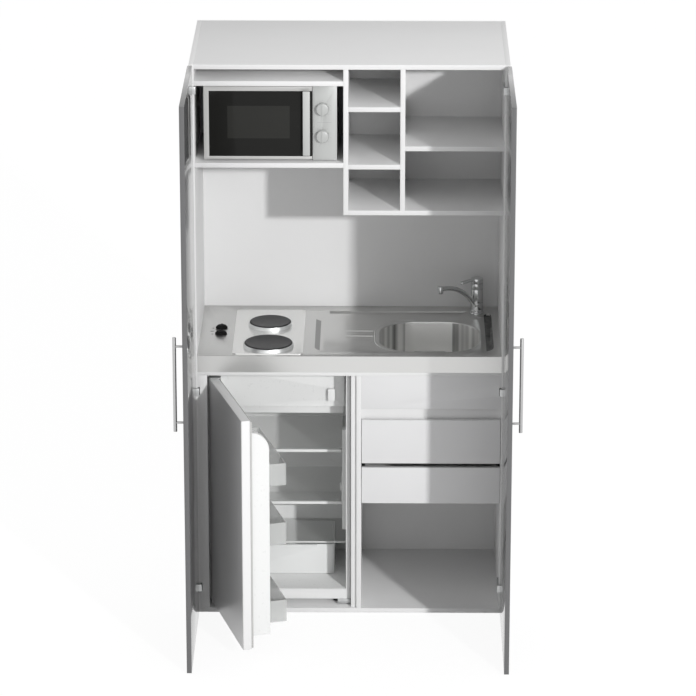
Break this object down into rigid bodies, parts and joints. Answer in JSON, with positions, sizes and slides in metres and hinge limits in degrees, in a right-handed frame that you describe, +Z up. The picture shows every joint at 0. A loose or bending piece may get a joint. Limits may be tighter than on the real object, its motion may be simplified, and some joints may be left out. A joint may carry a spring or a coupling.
{
  "type": "kitchenette unit with sink and hob",
  "caption": "Tall cupboard kitchenette: two doors open on a steel sink and hob top, tap, microwave, refrigerator, drawers and open shelves.",
  "frame": {"origin": "on the floor, under the middle of the cabinet's footprint, at the foot of the middle glide", "axes": "+Z up, +X to the right as seen by someone facing the open cupboard, +Y towards the wall behind it"},
  "size_m": [1.116, 1.13, 1.91],
  "materials": {
    "board_white": "white melamine board, satin",
    "door_grey": "grey high-gloss melamine board",
    "front_grey": "light melamine drawer front",
    "bar_steel": "brushed stainless bar",
    "hinge_steel": "nickel-plated pressed steel",
    "top_steel": "pressed stainless steel, linen finish",
    "strainer_steel": "stainless steel",
    "trap_plastic": "white polypropylene",
    "plate_iron": "cast iron, blackened",
    "ring_steel": "bright stainless ring",
    "tray_steel": "aluminised sheet",
    "knob_black": "black moulded plastic",
    "tap_chrome": "chrome plating",
    "oven_silver": "silver paint",
    "oven_inside": "grey enamel",
    "oven_panel": "silver moulded plastic",
    "oven_glass": "black printed glass",
    "oven_knob": "silver moulded plastic",
    "table_glass": "clear glass",
    "unit_metal": "plain metal",
    "fridge_white": "white coated skin on foam",
    "liner_white": "white polystyrene",
    "shelf_glass": "clear glass with white trims",
    "crisper_clear": "clear polystyrene",
    "bin_clear": "clear polystyrene",
    "cooling_black": "black paint",
    "gasket_grey": "soft vinyl",
    "foot_plastic": "black moulded plastic"
  },
  "bodies": {
    "cabinet": {"side_panel_left": "board_white", "side_panel_right": "board_white", "top_panel": "board_white", "base_panel": "board_white", "back_panel": "board_white", "inner_back_panels": "board_white", "shelves": "board_white", "upper_dividers": "board_white", "lower_divider": "board_white", "cross_rails": "board_white", "sink_fascia": "front_grey", "filler_strips": "board_white", "levelling_feet": "foot_plastic", "hinge_arms": "hinge_steel", "sink_top": "top_steel", "sink_strainer": "strainer_steel", "sink_trap": "trap_plastic", "hotplates": "plate_iron", "hotplate_rings": "ring_steel", "hob_tray": "tray_steel", "tap_body": "tap_chrome", "microwave_case": "oven_silver", "microwave_cavity": "oven_inside", "microwave_panel": "oven_panel", "microwave_power_unit": "unit_metal", "fridge_case": "fridge_white", "fridge_liner": "liner_white", "fridge_ice_box": "liner_white", "fridge_shelves": "shelf_glass", "fridge_cooling_unit": "cooling_black", "fridge_hinges": "hinge_steel", "drawer_runners": "hinge_steel"},
    "outer_door_left": {"outer_door_left": "door_grey", "door_handle_left": "bar_steel", "hinge_cups_left": "hinge_steel"},
    "outer_door_right": {"outer_door_right": "door_grey", "door_handle_right": "bar_steel", "hinge_cups_right": "hinge_steel"},
    "fridge_door": {"fridge_door_shell": "fridge_white", "fridge_door_liner": "liner_white", "fridge_door_gasket": "gasket_grey", "fridge_door_bins": "bin_clear"},
    "fridge_flap": {"fridge_flap": "liner_white"},
    "crisper": {"crisper_drawer": "crisper_clear"},
    "thermostat": {"thermostat_dial": "liner_white"},
    "drawer_upper": {"drawer_front_upper": "front_grey", "drawer_box_upper": "board_white"},
    "drawer_lower": {"drawer_front_lower": "front_grey", "drawer_box_lower": "board_white"},
    "microwave_door": {"microwave_door": "oven_silver", "microwave_window": "oven_glass", "microwave_handle": "oven_panel"},
    "microwave_knob_power": {"microwave_knob_power": "oven_knob"},
    "microwave_knob_timer": {"microwave_knob_timer": "oven_knob"},
    "turntable": {"turntable_plate": "table_glass"},
    "hob_knob_rear": {"hob_knob_rear": "knob_black"},
    "hob_knob_front": {"hob_knob_front": "knob_black"},
    "tap_spout": {"tap_spout": "tap_chrome"},
    "tap_cartridge": {"tap_cartridge": "tap_chrome"},
    "tap_lever": {"tap_lever": "tap_chrome"}
  },
  "joints": [
    {"name": "outer_door_left_hinge", "type": "hinge", "parent": "cabinet", "child": "outer_door_left", "pos_m": [-0.5135, -0.3135, 0.953], "axis": [0, 0, -1], "range_deg": [-90, 15]},
    {"name": "outer_door_right_hinge", "type": "hinge", "parent": "cabinet", "child": "outer_door_right", "pos_m": [0.5135, -0.3135, 0.953], "axis": [0, 0, 1], "range_deg": [-90, 15]},
    {"name": "fridge_door_hinge", "type": "hinge", "parent": "cabinet", "child": "fridge_door", "pos_m": [-0.4505, -0.288, 0.437], "axis": [0, 0, -1], "range_deg": [-74.2, 12.5]},
    {"name": "fridge_flap_hinge", "type": "hinge", "parent": "cabinet", "child": "fridge_flap", "pos_m": [-0.426, -0.177, 0.766], "axis": [0, 0, -1], "range_deg": [0, 45]},
    {"name": "crisper_slide", "type": "slide", "parent": "cabinet", "child": "crisper", "axis": [0, -1, 0], "range_m": [0, 0.1]},
    {"name": "thermostat_turn", "type": "hinge", "parent": "cabinet", "child": "thermostat", "pos_m": [-0.026, -0.156, 0.404], "axis": [1, 0, 0], "range_deg": [0, 270]},
    {"name": "drawer_upper_slide", "type": "slide", "parent": "cabinet", "child": "drawer_upper", "axis": [0, -1, 0], "range_m": [0, 0.35]},
    {"name": "drawer_lower_slide", "type": "slide", "parent": "cabinet", "child": "drawer_lower", "axis": [0, -1, 0], "range_m": [0, 0.35]},
    {"name": "microwave_door_hinge", "type": "hinge", "parent": "cabinet", "child": "microwave_door", "pos_m": [-0.468, -0.279, 1.71], "axis": [0, 0, -1], "range_deg": [0, 90]},
    {"name": "power_knob_turn", "type": "hinge", "parent": "cabinet", "child": "microwave_knob_power", "pos_m": [-0.088, -0.29, 1.758], "axis": [0, 1, 0], "range_deg": [0, 270]},
    {"name": "timer_knob_turn", "type": "hinge", "parent": "cabinet", "child": "microwave_knob_timer", "pos_m": [-0.088, -0.29, 1.667], "axis": [0, 1, 0], "range_deg": [0, 300]},
    {"name": "turntable_spin", "type": "hinge", "parent": "cabinet", "child": "turntable", "pos_m": [-0.29075, -0.115, 1.616], "axis": [0, 0, 1], "continuous": true},
    {"name": "hob_knob_rear_turn", "type": "hinge", "parent": "cabinet", "child": "hob_knob_rear", "pos_m": [-0.435, -0.005, 0.925], "axis": [0, 0, -1], "continuous": true},
    {"name": "hob_knob_front_turn", "type": "hinge", "parent": "cabinet", "child": "hob_knob_front", "pos_m": [-0.435, -0.069, 0.925], "axis": [0, 0, -1], "continuous": true},
    {"name": "spout_swivel", "type": "hinge", "parent": "cabinet", "child": "tap_spout", "pos_m": [0.431, 0.17, 0.946], "axis": [0, 0, 1], "range_deg": [-40, 60]},
    {"name": "tap_turn", "type": "hinge", "parent": "cabinet", "child": "tap_cartridge", "pos_m": [0.431, 0.17, 1.016], "axis": [0, 0, 1], "range_deg": [-45, 45]},
    {"name": "tap_lift", "type": "hinge", "parent": "tap_cartridge", "child": "tap_lever", "pos_m": [0.43979, 0.17816, 1.0324], "axis": [-0.6805, 0.7328, 0], "range_deg": [0, 25]}
  ],
  "couplings": [
    {"joint": "fridge_door_hinge", "follows": "outer_door_left_hinge", "ratio": 0.82444}
  ]
}
